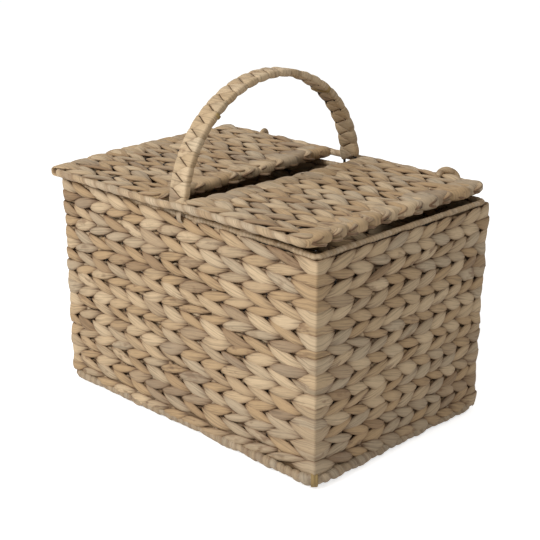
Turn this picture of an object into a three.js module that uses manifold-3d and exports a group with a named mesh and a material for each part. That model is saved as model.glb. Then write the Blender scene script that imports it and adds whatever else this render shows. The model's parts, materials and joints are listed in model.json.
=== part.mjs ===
// Picnic basket: twined hyacinth walls on a wire frame, a fixed arched handle and a slotted lid hinged at the back.
// Millimetres, +Z up, origin on the floor under the middle of the base, +X along the length, front at -Y.
import * as THREE from "three";
import { mergeVertices } from "three/addons/utils/BufferGeometryUtils.js";
import Module from "manifold-3d";

const wasm = await Module();
wasm.setup();

// Driving dimensions
const length = 420;
const depth = 280;
const rimTop = 250;
const wallThickness = 14;
const ribDepth = 1.8;
const wallRows = 18;
const cornerRadius = 9;
const outerCorner = 5;
const gap = 0.3;

// Wires and their strip wraps, as radii across the flats
const rodRadius = 2;
const wrapRadius = 3.4;
const lidWrapRadius = 4.5;
const stakeRadius = 1.5;
const postRadius = 2;
const railRadius = 1.5;
const stakeBend = 16;
const stakeBendSteps = 2;
const wrapSides = 8;
const wireSides = 6;

// Base
const baseThickness = 13.5;
const baseRows = 18;
const crossStakes = 11;
const longStakes = 9;
const crossStakeHeight = 8.8;
const longStakeHeight = 4;

// Handle
const handleRise = 8;
const handleWidth = 28;
const handleThickness = 9;
const handleShift = 4.75;
const handleYaw = THREE.MathUtils.degToRad(2.7);
const railSpacing = 18;
const railSteps = 24;
const handleWraps = 25;
const handleDip = 0.9;
const handleRound = 2.7;

// Lid, in its own frame: hinge line on X, panels towards -Y
const lidOverhang = 7;
const lidShortfall = 5;
const swingRoom = 3.2;
const lidThickness = 13;
const lidRows = 22;
const slotWidth = 38;
const lidStakes = 4;
const hingeRoom = 0.6;
const lidTilt = THREE.MathUtils.degToRad(2.5);
const lidRoll = THREE.MathUtils.degToRad(1.2);
const edgeReach = 7;

// Hinge loops
const loopInset = 59;
const loopStrand = 2.8;
const loopPlay = 1;
const loopSlack = 4;
const loopSkew = 0.9;
const loopRoom = 2.6;
const loopSteps = 6;

// Worked out from the above
const midX = length / 2 - wallThickness / 2;
const midY = depth / 2 - wallThickness / 2;
const rimHeight = rimTop - wrapRadius;
const footHeight = wrapRadius;
const wallBottom = footHeight + wrapRadius + gap;
const wallTop = rimHeight - wrapRadius - gap;
const insideX = length / 2 - wallThickness - gap;
const insideY = depth / 2 - wallThickness - gap;
const cornerSteps = 4;
const handleRadius = midY / Math.cos(handleYaw);
const handleSpring = rimTop + handleRise;
const lidLeft = -(length / 2 + lidOverhang);
const lidRight = length / 2 - lidShortfall;
const lidWrapCorner = lidWrapRadius / Math.cos(Math.PI / wrapSides);
const handleBack =
  midY + (handleThickness / 2) * Math.cos(handleYaw) + (handleWidth / 2) * Math.sin(handleYaw);
const hingeY = handleBack + hingeRoom + lidWrapCorner;
const restReach = hingeY + midY;
const restRise = restReach * Math.tan(lidTilt) + lidRight * Math.tan(lidRoll);
const hingeZ = rimTop + gap + restRise + lidThickness / 2 / Math.cos(lidTilt);
const handleReach = Math.hypot(hingeY, hingeZ - handleSpring) + handleRadius + handleThickness / 2;
const lidDepth = handleReach + swingRoom + lidWrapRadius;
const loopPlaces = { left: loopInset - length / 2, right: length / 2 - loopInset };
const loopLow = wrapRadius + loopPlay + loopStrand;
const loopHigh = lidWrapRadius + loopPlay + loopStrand;
const loopNotchWidth = 2 * (loopSkew * loopHigh + loopStrand + loopRoom);
const loopNotchDepth = loopSlack + loopHigh + loopStrand + loopRoom;

// Materials
const hyacinth = new THREE.MeshStandardMaterial({ color: 0xbfa47a, roughness: 0.8, metalness: 0 });
const strip = new THREE.MeshStandardMaterial({ color: 0xb59a70, roughness: 0.75, metalness: 0 });
const wire = new THREE.MeshStandardMaterial({ color: 0x1c1a18, roughness: 0.5, metalness: 0.6 });

// Points of an arc in the plane of two unit vectors, with both ends
function arc(centre, radius, from, to, steps, along, across) {
  const points = [];
  for (let i = 0; i <= steps; i++) {
    const angle = from + ((to - from) * i) / steps;
    points.push(
      centre
        .clone()
        .addScaledVector(along, radius * Math.cos(angle))
        .addScaledVector(across, radius * Math.sin(angle))
    );
  }
  return points;
}

const X = new THREE.Vector3(1, 0, 0);
const Y = new THREE.Vector3(0, 1, 0);
const Z = new THREE.Vector3(0, 0, 1);
const at = (x, y, z) => new THREE.Vector3(x, y, z);

// A round corner of a loop at one height, turning between two angles
function corner(x, y, z, from, to) {
  const centre = at(x - Math.sign(x) * cornerRadius, y - Math.sign(y) * cornerRadius, z);
  const steps = Math.max(1, Math.round((cornerSteps * Math.abs(to - from)) / (Math.PI / 2)));
  return arc(centre, cornerRadius, from, to, steps, X, Y);
}

// Rings of a many-sided section along a flat path: one ring at each point, mitred there
function ringsAlong(path, normal, radius, sides, closed) {
  const circum = radius / Math.cos(Math.PI / sides);
  return path.map((point, i) => {
    const last = path.length - 1;
    const before = path[i === 0 ? (closed ? last : 0) : i - 1];
    const after = path[i === last ? (closed ? 0 : last) : i + 1];
    const into = point.clone().sub(before).normalize();
    const out = after.clone().sub(point).normalize();
    if (into.lengthSq() === 0) into.copy(out);
    if (out.lengthSq() === 0) out.copy(into);
    const tangent = into.clone().add(out).normalize();
    const stretch = 1 / tangent.dot(into);
    const side = normal.clone().cross(tangent).normalize();
    const ring = [];
    for (let k = 0; k < sides; k++) {
      const angle = ((k + 0.5) * 2 * Math.PI) / sides;
      ring.push(
        point
          .clone()
          .addScaledVector(side, circum * Math.cos(angle) * stretch)
          .addScaledVector(normal, circum * Math.sin(angle))
      );
    }
    return ring;
  });
}

// A closed surface from points and triangles
function surface(points, triangles) {
  const geometry = new THREE.BufferGeometry();
  const flat = points.flatMap((p) => [p.x, p.y, p.z]);
  geometry.setAttribute("position", new THREE.Float32BufferAttribute(flat, 3));
  geometry.setIndex(triangles);
  return geometry;
}

// A solid rod along a flat path
function rod(path, normal, radius, sides, closed = false) {
  const rings = ringsAlong(path, normal, radius, sides, closed);
  const triangles = [];
  const spans = closed ? rings.length : rings.length - 1;
  for (let i = 0; i < spans; i++) {
    const a = i * sides;
    const b = ((i + 1) % rings.length) * sides;
    for (let k = 0; k < sides; k++) {
      const next = (k + 1) % sides;
      triangles.push(a + k, a + next, b + next, a + k, b + next, b + k);
    }
  }
  if (!closed) {
    const end = (rings.length - 1) * sides;
    for (let k = 1; k < sides - 1; k++) {
      triangles.push(0, k + 1, k, end, end + k, end + k + 1);
    }
  }
  return surface(rings.flat(), triangles);
}

// A sleeve round a rod: an open tube along the same path, whose first and last points only give a direction
function sleeve(path, normal, outer, inner, sides = wrapSides) {
  const outside = ringsAlong(path, normal, outer, sides, false).slice(1, -1);
  const inside = ringsAlong(path, normal, inner, sides, false).slice(1, -1);
  const start = outside.length * sides;
  const triangles = [];
  for (let i = 0; i < outside.length - 1; i++) {
    for (let k = 0; k < sides; k++) {
      const next = (k + 1) % sides;
      const a = i * sides + k;
      const b = i * sides + next;
      triangles.push(a, b, b + sides, a, b + sides, a + sides);
      triangles.push(start + a, start + b + sides, start + b, start + a, start + a + sides, start + b + sides);
    }
  }
  const end = (outside.length - 1) * sides;
  for (let k = 0; k < sides; k++) {
    const next = (k + 1) % sides;
    triangles.push(k, start + next, next, k, start + k, start + next);
    triangles.push(end + k, end + next, start + end + next, end + k, start + end + next, start + end + k);
  }
  return surface([...outside.flat(), ...inside.flat()], triangles);
}

// A solid lofted through like outlines, with flat ends: each outline runs anticlockwise seen against the path
function loft(outlines, flatten) {
  const count = outlines[0].length;
  const triangles = [];
  for (let i = 0; i < outlines.length - 1; i++) {
    for (let k = 0; k < count; k++) {
      const next = (k + 1) % count;
      const a = i * count;
      const b = a + count;
      triangles.push(a + k, a + next, b + next, a + k, b + next, b + k);
    }
  }
  const end = (outlines.length - 1) * count;
  for (const [a, b, c] of THREE.ShapeUtils.triangulateShape(outlines[0].map(flatten), [])) {
    triangles.push(a, c, b, end + a, end + b, end + c);
  }
  return surface(outlines.flat(), triangles);
}

// Ribs of woven rows: places across the rows, each with the share of the rib's height there
function ribs(from, to, rows) {
  const pitch = (to - from) / rows;
  const shoulder = 0.28;
  const places = [];
  for (let row = 0; row < rows; row++) {
    const start = from + row * pitch;
    places.push({ place: start, rise: 0 });
    places.push({ place: start + pitch * shoulder, rise: 1 });
    places.push({ place: start + pitch * (1 - shoulder), rise: 1 });
  }
  places.push({ place: to, rise: 0 });
  return places;
}

function solid(geometry) {
  return new wasm.Manifold(
    new wasm.Mesh({
      numProp: 3,
      vertProperties: new Float32Array(geometry.getAttribute("position").array),
      triVerts: new Uint32Array(geometry.getIndex().array),
    })
  );
}

// A geometry with others cut out of it
function cut(geometry, cutters) {
  let body = solid(geometry);
  for (const cutter of cutters) {
    body = body.subtract(solid(cutter));
  }
  const mesh = body.getMesh();
  const result = new THREE.BufferGeometry();
  result.setAttribute("position", new THREE.Float32BufferAttribute(mesh.vertProperties, 3));
  result.setIndex(Array.from(mesh.triVerts));
  return result;
}

function piece(group, name, geometry, material) {
  geometry.computeVertexNormals();
  const mesh = new THREE.Mesh(geometry, material);
  mesh.name = name;
  group.add(mesh);
  return mesh;
}

const basket = new THREE.Group();
const lid = new THREE.Group();
lid.position.set(0, hingeY, hingeZ);
lid.rotation.set(lidTilt, lidRoll, 0, "YXZ");
basket.add(lid);

// Rim rod and bottom rod: one loop each, with a wrap along each side that meets its neighbours on the mitre
function loopPath(z) {
  const quarter = Math.PI / 2;
  return [
    ...corner(-midX, -midY, z, -2 * quarter, -quarter),
    ...corner(midX, -midY, z, -quarter, 0),
    ...corner(midX, midY, z, 0, quarter),
    ...corner(-midX, midY, z, quarter, 2 * quarter),
  ];
}

// Each side runs anticlockwise, seen from above, between two corners
const sides = {
  front: { from: [-midX, -midY], to: [midX, -midY], facing: -Math.PI / 2 },
  right: { from: [midX, -midY], to: [midX, midY], facing: 0 },
  back: { from: [midX, midY], to: [-midX, midY], facing: Math.PI / 2 },
  left: { from: [-midX, midY], to: [-midX, -midY], facing: Math.PI },
};
const mitreGap = THREE.MathUtils.degToRad(1);
const eighth = Math.PI / 4 - mitreGap;

function sidePath(side, z) {
  const [fromX, fromY] = side.from;
  const [toX, toY] = side.to;
  return [
    ...corner(fromX, fromY, z, side.facing - eighth, side.facing),
    ...corner(toX, toY, z, side.facing, side.facing + eighth),
  ];
}

// The same path with one more step round the corner at either end, to give its ends their direction
function ledPath(side, z) {
  const path = sidePath(side, z);
  const step = (2 * eighth) / cornerSteps;
  const [before] = corner(...side.from, z, side.facing - eighth - step, side.facing);
  const [after] = corner(...side.to, z, side.facing + eighth + step, side.facing);
  return [before, ...path, after];
}

// The handle stands in an upright plane, turned a little from front to back
const handleAlong = at(Math.sin(handleYaw), Math.cos(handleYaw), 0);
const handleAcross = at(Math.cos(handleYaw), -Math.sin(handleYaw), 0);
function onHandle(across, along, z) {
  return at(handleShift, 0, z).addScaledVector(handleAcross, across).addScaledVector(handleAlong, along);
}

// Handle rails: up from the rim rod, over in a half circle and down again
function railPath(across) {
  const start = onHandle(across, -handleRadius, rimHeight + rodRadius + gap);
  const end = onHandle(across, handleRadius, rimHeight + rodRadius + gap);
  const centre = onHandle(across, 0, handleSpring);
  return [start, ...arc(centre, handleRadius, Math.PI, 0, railSteps, handleAlong, Z), end];
}
const rail = (across, grow = 0) => rod(railPath(across), handleAcross, railRadius + grow, wireSides);
const railPlaces = { left: -railSpacing / 2, right: railSpacing / 2 };
const railCutters = Object.values(railPlaces).map((x) => rail(x, gap));

// Stakes: U-shaped wires up one wall, across the base and up the other wall
function stakePath(along, across, place, reach, run, head) {
  const quarter = Math.PI / 2;
  const middle = along.clone().multiplyScalar(place);
  const turn = (side) =>
    middle
      .clone()
      .addScaledVector(across, side * (reach - stakeBend))
      .addScaledVector(Z, run + stakeBend);
  const top = (side) => middle.clone().addScaledVector(across, side * reach).addScaledVector(Z, head);
  return [
    top(-1),
    ...arc(turn(-1), stakeBend, 2 * quarter, 3 * quarter, stakeBendSteps, across, Z),
    ...arc(turn(1), stakeBend, 3 * quarter, 4 * quarter, stakeBendSteps, across, Z),
    top(1),
  ];
}

function evenly(count, reach) {
  const pitch = (2 * reach) / (count + 1);
  return Array.from({ length: count }, (_, i) => -reach + pitch * (i + 1));
}
const crossPlaces = evenly(crossStakes, midX);
const longPlaces = evenly(longStakes, midY);
function crossStake(x, grow = 0) {
  const path = stakePath(X, Y, x, midY, crossStakeHeight, wallTop + grow);
  return rod(path, X, stakeRadius + grow, wireSides);
}
function longStake(y, grow = 0) {
  const path = stakePath(Y, X, y, midX, longStakeHeight, wallTop + grow);
  return rod(path, Y.clone().negate(), stakeRadius + grow, wireSides);
}
const stakeCutters = [
  ...crossPlaces.map((x) => crossStake(x, gap)),
  ...longPlaces.map((y) => longStake(y, gap)),
];

// Corner posts stand on the mitre between two walls
function post(side, grow = 0) {
  const [foot] = corner(side.from[0], side.from[1], wallBottom - grow, side.facing - Math.PI / 4, side.facing);
  const head = foot.clone().setZ(wallTop + grow);
  return rod([foot, head], X, postRadius + grow, wrapSides);
}
const postCutters = Object.values(sides).map((side) => post(side, gap));

// Hinge loops: one strand each, aslant round the back rim and the lid's back rod, with some slack above
function loopRing(x, grow = 0) {
  const low = at(x, midY, rimHeight);
  const pivot = at(x, hingeY, hingeZ - x * Math.tan(lidRoll));
  const up = pivot.clone().sub(low).normalize();
  const high = pivot.clone().addScaledVector(up, loopSlack);
  const out = at(0, up.z, -up.y).addScaledVector(X, loopSkew);
  const path = [
    ...arc(high, loopHigh, 0, Math.PI, loopSteps, out, up),
    ...arc(low, loopLow, Math.PI, 2 * Math.PI, loopSteps, out, up),
  ];
  return rod(path, out.clone().cross(up).normalize(), loopStrand + grow, wrapSides, true);
}
const loopCutters = Object.values(loopPlaces).map((x) => loopRing(x, gap));

// Walls: ribbed rows outside, plain inside, rounded at the outer edge and mitred at either end
function wall(side) {
  const rows = ribs(wallBottom, wallTop, wallRows).toReversed();
  const out = at(Math.cos(side.facing), Math.sin(side.facing), 0);
  const along = Z.clone().cross(out);
  const halfRun = Math.hypot(side.to[0] - side.from[0], side.to[1] - side.from[1]) / 2 + wallThickness / 2;
  const reach = Math.abs(out.dot(at(length / 2, depth / 2, 0)));
  const turned = outerCorner * (1 - Math.SQRT1_2);
  const place = (run, stand, z) => at(0, 0, z).addScaledVector(along, run).addScaledVector(out, stand);
  const outline = (end, run, drop, share) => [
    place(end * (halfRun - run), reach - wallThickness, wallBottom),
    place(end * (halfRun - run), reach - wallThickness, wallTop),
    ...rows.map(({ place: z, rise }) => {
      const inset = ribDepth * (1 - rise);
      return place(end * (halfRun - drop - share * inset), reach - inset - share * turned, z);
    }),
  ];
  const mitred = (end) => outline(end, wallThickness + gap, turned + gap, 1);
  const square = (end) => outline(end, wallThickness + outerCorner, outerCorner, 0);
  return loft([mitred(-1), square(-1), square(1), mitred(1)], (p) => new THREE.Vector2(-p.dot(out), p.z));
}

piece(basket, "bottom_rod", rod(loopPath(footHeight), Z, rodRadius, wrapSides, true), wire);
piece(basket, "rim_rod", rod(loopPath(rimHeight), Z, rodRadius, wrapSides, true), wire);
for (const [name, side] of Object.entries(sides)) {
  const foot = sleeve(ledPath(side, footHeight), Z, wrapRadius, rodRadius + gap);
  const rim = sleeve(ledPath(side, rimHeight), Z, wrapRadius, rodRadius + gap);
  piece(basket, `bottom_wrap_${name}`, foot, strip);
  piece(basket, `rim_wrap_${name}`, cut(rim, railCutters), strip);
  const cutters = [...stakeCutters, ...postCutters, ...loopCutters];
  piece(basket, `wall_${name}`, cut(wall(side), cutters), hyacinth);
}
Object.values(sides).forEach((side, i) => piece(basket, `corner_post_${i + 1}`, post(side), wire));
crossPlaces.forEach((x, i) => piece(basket, `cross_stake_${i + 1}`, crossStake(x), wire));
longPlaces.forEach((y, i) => piece(basket, `long_stake_${i + 1}`, longStake(y), wire));

// Base: flat underneath, ribbed rows above
function baseSlab() {
  const rows = ribs(-insideY, insideY, baseRows).toReversed();
  const outlines = [-insideX, insideX].map((x) => [
    at(x, -insideY, 0),
    at(x, insideY, 0),
    ...rows.map(({ place, rise }) => at(x, place, baseThickness - ribDepth * (1 - rise))),
  ]);
  return loft(outlines, (p) => new THREE.Vector2(p.y, p.z));
}
piece(basket, "base_panel", cut(baseSlab(), stakeCutters), hyacinth);

// Handle: two rails inside a flat band, drawn in between its turns
for (const [name, x] of Object.entries(railPlaces)) {
  piece(basket, `handle_rail_${name}`, rail(x), wire);
}
function bandSection(dip) {
  const halfWidth = handleWidth / 2 - dip;
  const half = handleThickness / 2 - dip / 2;
  return [
    [-halfWidth, half - handleRound],
    [-halfWidth, handleRound - half],
    [handleRound - halfWidth, -half],
    [halfWidth - handleRound, -half],
    [halfWidth, handleRound - half],
    [halfWidth, half - handleRound],
    [halfWidth - handleRound, half],
    [handleRound - halfWidth, half],
  ];
}
function handleBand() {
  const steps = 2 * handleWraps;
  const outlines = [];
  for (let i = 0; i <= steps; i++) {
    const angle = (Math.PI * i) / steps;
    const bent = bandSection(i % 2 === 0 ? handleDip : 0).map(([across, height]) => {
      const radius = handleRadius + height;
      return onHandle(across, radius * Math.cos(angle), handleSpring + radius * Math.sin(angle));
    });
    outlines.push(bent);
  }
  return loft(outlines, (p) => new THREE.Vector2(p.x, p.y));
}
piece(basket, "handle_wrap", cut(handleBand(), railCutters), hyacinth);
for (const [name, x] of Object.entries(loopPlaces)) {
  piece(basket, `hinge_loop_${name}`, loopRing(x), strip);
}

// Lid frame: one wire rectangle, two slot rods and the stakes, all in the plane of the hinge line
const lidEndLeft = lidLeft + edgeReach;
const lidEndRight = lidRight - edgeReach;

// The slot follows the handle: where its edge on one side lies at a place along the lid
function slotEdge(side, y) {
  const middle = handleShift + (hingeY + y * Math.cos(lidTilt)) * Math.tan(handleYaw);
  return middle + (side * slotWidth) / 2;
}
function lidRing(grow = 0) {
  const quarter = Math.PI / 2;
  const inward = (value) => value + (value < 0 ? cornerRadius : -cornerRadius);
  const turn = (x, y, from) =>
    arc(at(inward(x), inward(y), 0), cornerRadius, from, from + quarter, cornerSteps, X, Y);
  const path = [
    ...turn(lidEndLeft, -lidDepth, -2 * quarter),
    ...turn(lidEndRight, -lidDepth, -quarter),
    ...turn(lidEndRight, 0, 0),
    ...turn(lidEndLeft, 0, quarter),
  ];
  return rod(path, Z, rodRadius + grow, wrapSides, true);
}

// A straight wire from the front wrap to the back wrap, a share of the way from the slot rod to the end rod
const lidRun = [-lidDepth + lidWrapRadius + gap, -lidWrapRadius - gap];
function lidWire(panel, share, radius) {
  const path = lidRun.map((y) => {
    const slot = slotEdge(panel.side, y) + panel.side * edgeReach;
    return at(slot + (panel.end - slot) * share, y, 0);
  });
  return rod(path, Z, radius, wireSides);
}

const panels = {
  left: { side: -1, end: lidEndLeft, edges: [() => lidLeft, (y) => slotEdge(-1, y)] },
  right: { side: 1, end: lidEndRight, edges: [(y) => slotEdge(1, y), () => lidRight] },
};

// A lid panel: ribbed rows along X above, plain below, rounded over the rods at either end
function lidPanel(panel) {
  const [front, back] = lidRun;
  const rows = ribs(front, back, lidRows).toReversed();
  const rounding = [
    { inset: 0, share: 0.45 },
    { inset: edgeReach * 0.28, share: 0.82 },
    { inset: edgeReach * 0.85, share: 1 },
  ];
  const [low, high] = panel.edges;
  const places = [
    ...rounding.map(({ inset, share }) => ({ x: (y) => low(y) + inset, share })),
    ...rounding.toReversed().map(({ inset, share }) => ({ x: (y) => high(y) - inset, share })),
  ];
  const outlines = places.map(({ x, share }) => {
    const half = (share * lidThickness) / 2;
    return [
      at(x(front), front, -half),
      at(x(back), back, -half),
      ...rows.map(({ place: y, rise }) => at(x(y), y, half - share * ribDepth * (1 - rise))),
    ];
  });
  return loft(outlines, (p) => new THREE.Vector2(p.y, p.z));
}

// Room in a panel for a hinge loop, as a box whose corners are merged
function loopNotch(x) {
  const notch = new THREE.BoxGeometry(loopNotchWidth, loopNotchDepth, 2 * lidThickness);
  notch.translate(x, -loopNotchDepth / 2, 0);
  notch.deleteAttribute("normal");
  notch.deleteAttribute("uv");
  return mergeVertices(notch);
}

piece(lid, "lid_rod", lidRing(), wire);
for (const [name, panel] of Object.entries(panels)) {
  const shares = Array.from({ length: lidStakes }, (_, i) => (i + 1) / (lidStakes + 1));
  const cutters = [
    lidRing(gap),
    lidWire(panel, 0, rodRadius + gap),
    ...shares.map((share) => lidWire(panel, share, stakeRadius + gap)),
    loopNotch(loopPlaces[name]),
  ];
  piece(lid, `lid_panel_${name}`, cut(lidPanel(panel), cutters), hyacinth);
  piece(lid, `lid_slot_rod_${name}`, lidWire(panel, 0, rodRadius), wire);
  shares.forEach((share, i) =>
    piece(lid, `lid_stake_${name}_${i + 1}`, lidWire(panel, share, stakeRadius), wire)
  );
}
for (const [name, y] of Object.entries({ front: -lidDepth, back: 0 })) {
  const left = lidEndLeft + cornerRadius;
  const right = lidEndRight - cornerRadius;
  const path = [lidEndLeft, left, right, lidEndRight].map((x) => at(x, y, 0));
  piece(lid, `lid_wrap_${name}`, sleeve(path, Z, lidWrapRadius, rodRadius + gap), strip);
}

export default basket;
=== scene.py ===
import json
import math

import bpy
import bmesh
from mathutils import Matrix, Vector


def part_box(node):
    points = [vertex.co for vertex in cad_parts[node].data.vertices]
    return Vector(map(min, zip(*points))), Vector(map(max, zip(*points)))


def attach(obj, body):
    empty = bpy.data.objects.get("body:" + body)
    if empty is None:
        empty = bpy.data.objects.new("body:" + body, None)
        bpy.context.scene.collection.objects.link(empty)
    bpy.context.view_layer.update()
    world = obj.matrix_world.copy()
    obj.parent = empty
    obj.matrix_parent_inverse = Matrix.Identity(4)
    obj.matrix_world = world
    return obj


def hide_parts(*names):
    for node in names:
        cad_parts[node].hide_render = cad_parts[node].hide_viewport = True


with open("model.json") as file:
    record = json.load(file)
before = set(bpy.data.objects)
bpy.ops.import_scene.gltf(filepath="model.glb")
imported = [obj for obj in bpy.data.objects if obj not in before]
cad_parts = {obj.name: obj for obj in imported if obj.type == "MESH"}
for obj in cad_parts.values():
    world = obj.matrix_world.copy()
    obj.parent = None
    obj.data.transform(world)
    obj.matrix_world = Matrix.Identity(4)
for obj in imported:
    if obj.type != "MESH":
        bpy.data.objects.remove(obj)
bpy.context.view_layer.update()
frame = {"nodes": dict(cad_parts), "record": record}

scene = bpy.context.scene
mm = 0.001
up = Vector((0, 0, 1))
cornerSigns = ((-1, -1), (1, -1), (1, 1), (-1, 1))


# node algebra: a Field is a number socket, an Arrow is a vector socket, and both take plain arithmetic
class Wired:
    def __init__(self, tree, socket):
        self.tree = tree
        self.socket = socket

    def __add__(self, other):
        return self.math("ADD", other)


class Field(Wired):
    def math(self, operation, *others):
        node = self.tree.nodes.new("ShaderNodeMath")
        node.operation = operation
        for socket, value in zip(node.inputs, (self, *others)):
            plug(socket, value)
        return Field(self.tree, node.outputs[0])

    def __sub__(self, other):
        return self.math("SUBTRACT", other)

    def __mul__(self, other):
        return self.math("MULTIPLY", other)

    def __truediv__(self, other):
        return self.math("DIVIDE", other)

    def __pow__(self, other):
        return self.math("POWER", other)

    def inverse(self):
        return self * -1.0 + 1.0

    def mapped(self, kind, labels, low, high):
        node = self.tree.nodes.new("ShaderNodeMapRange")
        node.interpolation_type = kind
        for label, value in zip(("Value", *labels), (self, low, high)):
            plug(node.inputs[label], value)
        return Field(self.tree, node.outputs["Result"])

    def mix(self, low, high):
        return self.mapped("LINEAR", ("To Min", "To Max"), low, high)

    def window(self, start, end):
        return self.mapped("SMOOTHSTEP", ("From Min", "From Max"), start, end)


class Arrow(Wired):
    def math(self, operation, other=None, slot=1):
        node = self.tree.nodes.new("ShaderNodeVectorMath")
        node.operation = operation
        plug(node.inputs[0], self)
        if other is not None:
            plug(node.inputs[slot], other)
        return Arrow(self.tree, node.outputs["Vector"])

    def __mul__(self, other):
        return self.math("SCALE", other, "Scale")

    def cross(self, other):
        return self.math("CROSS_PRODUCT", other)

    def unit(self):
        return self.math("NORMALIZE")

    def parts(self):
        node = self.tree.nodes.new("ShaderNodeSeparateXYZ")
        plug(node.inputs[0], self)
        return [Field(self.tree, socket) for socket in node.outputs]


def plug(socket, value):
    if isinstance(value, Wired):
        value.tree.links.new(value.socket, socket)
    else:
        socket.default_value = value


def arrow(x, y, z):
    node = x.tree.nodes.new("ShaderNodeCombineXYZ")
    for socket, value in zip(node.inputs, (x, y, z)):
        plug(socket, value)
    return Arrow(x.tree, node.outputs[0])


def noise(where, scale=1.0, detail=1.0):
    node = where.tree.nodes.new("ShaderNodeTexNoise")
    node.inputs["Scale"].default_value = scale
    node.inputs["Detail"].default_value = detail
    plug(node.inputs["Vector"], where)
    return Field(where.tree, node.outputs["Fac"])


# geometry trees: they read what each point of a path carries, these as vectors and the rest as numbers
pathVectors = ("spine", "out", "face", "course")


def geometryTree(name, *sizes):
    tree = bpy.data.node_groups.new(name, "GeometryNodeTree")
    kinds = {"Geometry": "Geometry", **dict.fromkeys(sizes, "Float"), "Seed": "Int", "Finish": "Material"}
    for label, kind in kinds.items():
        tree.interface.new_socket(label, in_out="INPUT", socket_type="NodeSocket" + kind)
    tree.interface.new_socket("Geometry", in_out="OUTPUT", socket_type="NodeSocketGeometry")
    start = tree.nodes.new("NodeGroupInput")
    return tree, start, {label: Field(tree, start.outputs[label]) for label in (*sizes, "Seed")}


def kept(tree, *names):
    found = []
    for name in names:
        node = tree.nodes.new("GeometryNodeInputNamedAttribute")
        node.data_type = "FLOAT_VECTOR" if name in pathVectors else "FLOAT"
        node.inputs["Name"].default_value = name
        wired = Arrow if name in pathVectors else Field
        found.append(wired(tree, node.outputs["Attribute"]))
    return found


def follow(tree, geometry, kind):
    node = tree.nodes.new("GeometryNode" + kind)
    tree.links.new(geometry, node.inputs["Geometry"])
    return node


def keep(tree, geometry, name, value):
    node = follow(tree, geometry, "StoreNamedAttribute")
    node.data_type = "FLOAT_VECTOR" if isinstance(value, Arrow) else "FLOAT"
    node.inputs["Name"].default_value = name
    plug(node.inputs["Value"], value)
    return node.outputs["Geometry"]


# a few random numbers for each leaf or turn, from seeds that follow one another
def chances(which, seed, count):
    drawn = []
    for i in range(count):
        node = which.tree.nodes.new("FunctionNodeRandomValue")
        node.data_type = "FLOAT"
        plug(node.inputs["ID"], which)
        plug(node.inputs["Seed"], seed + float(i))
        outputs = [socket for socket in node.outputs if socket.enabled]
        drawn.append(Field(which.tree, outputs[0]))
    return drawn


# a ring of points at every point of the path, ready to be moved into a section
def sweep(tree, start, sides):
    curve = tree.nodes.new("GeometryNodeMeshToCurve")
    tree.links.new(start.outputs["Geometry"], curve.inputs["Mesh"])
    circle = tree.nodes.new("GeometryNodeCurvePrimitiveCircle")
    circle.inputs["Resolution"].default_value = sides
    circle.inputs["Radius"].default_value = mm
    factor = tree.nodes.new("GeometryNodeSplineParameter")
    profile = keep(tree, circle.outputs["Curve"], "around", Field(tree, factor.outputs["Factor"]))
    tube = tree.nodes.new("GeometryNodeCurveToMesh")
    tree.links.new(curve.outputs["Curve"], tube.inputs["Curve"])
    tree.links.new(profile, tube.inputs["Profile Curve"])
    tube.inputs["Fill Caps"].default_value = True
    return tube.outputs["Mesh"], kept(tree, "around")[0] * (2 * math.pi)


# a flattened section: how far across it and how far up it each point lies
def section(angle, power):
    crest = angle.math("SINE")
    return angle.math("COSINE"), crest.math("SIGN") * crest.math("ABSOLUTE") ** power


def finishTree(tree, start, geometry, position, **looks):
    for name, value in looks.items():
        geometry = keep(tree, geometry, name, value)
    node = follow(tree, geometry, "SetPosition")
    plug(node.inputs["Position"], position)
    for kind in ("SetShadeSmooth", "RealizeInstances", "SetMaterial"):
        node = follow(tree, node.outputs["Geometry"], kind)
    tree.links.new(start.outputs["Finish"], node.inputs["Material"])
    end = tree.nodes.new("NodeGroupOutput")
    tree.links.new(node.outputs["Geometry"], end.inputs["Geometry"])
    return tree


# one strand of a twined pair: a leaf over one stake, a neck under the next, climbing its row on each pass
leafLook = {
    "sides": 10,
    "ahead": 0.03,
    "sagScale": 13.0,
    "slipScale": 9.0,
    "slip": 0.7,
    "rowApart": (0.37, 0.21, 0.13),  # moves the noise on from row to row
    "slant": (0.6, 0.4),  # straight and rounded shares
    "rowStep": 97.0,
    "strandStep": 41.0,
    "widePower": 1.65,
    "fullPower": 4.0,
    "deeper": (0.86, 1.14),  # least and most, as for the next three
    "wider": (0.78, 1.18),
    "rowWider": (0.9, 1.08),
    "fuller": (0.8, 1.15),
    "skew": 0.5,
    "neckWide": 0.8,
    "crestPower": 0.85,
    "ridges": 3.0,
    "ridgeShift": 6.0,
    "ridgeAlong": 140.0,
    "ridge": 0.06,
    "roll": 0.36,
    "fibreShift": 3.0,
    "fibreStep": 7.0,
    # how much browner and greyer the leaves turn low near the front right corner
    "cornerBrown": 0.2,
    "cornerGrey": 0.6,
}


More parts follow.
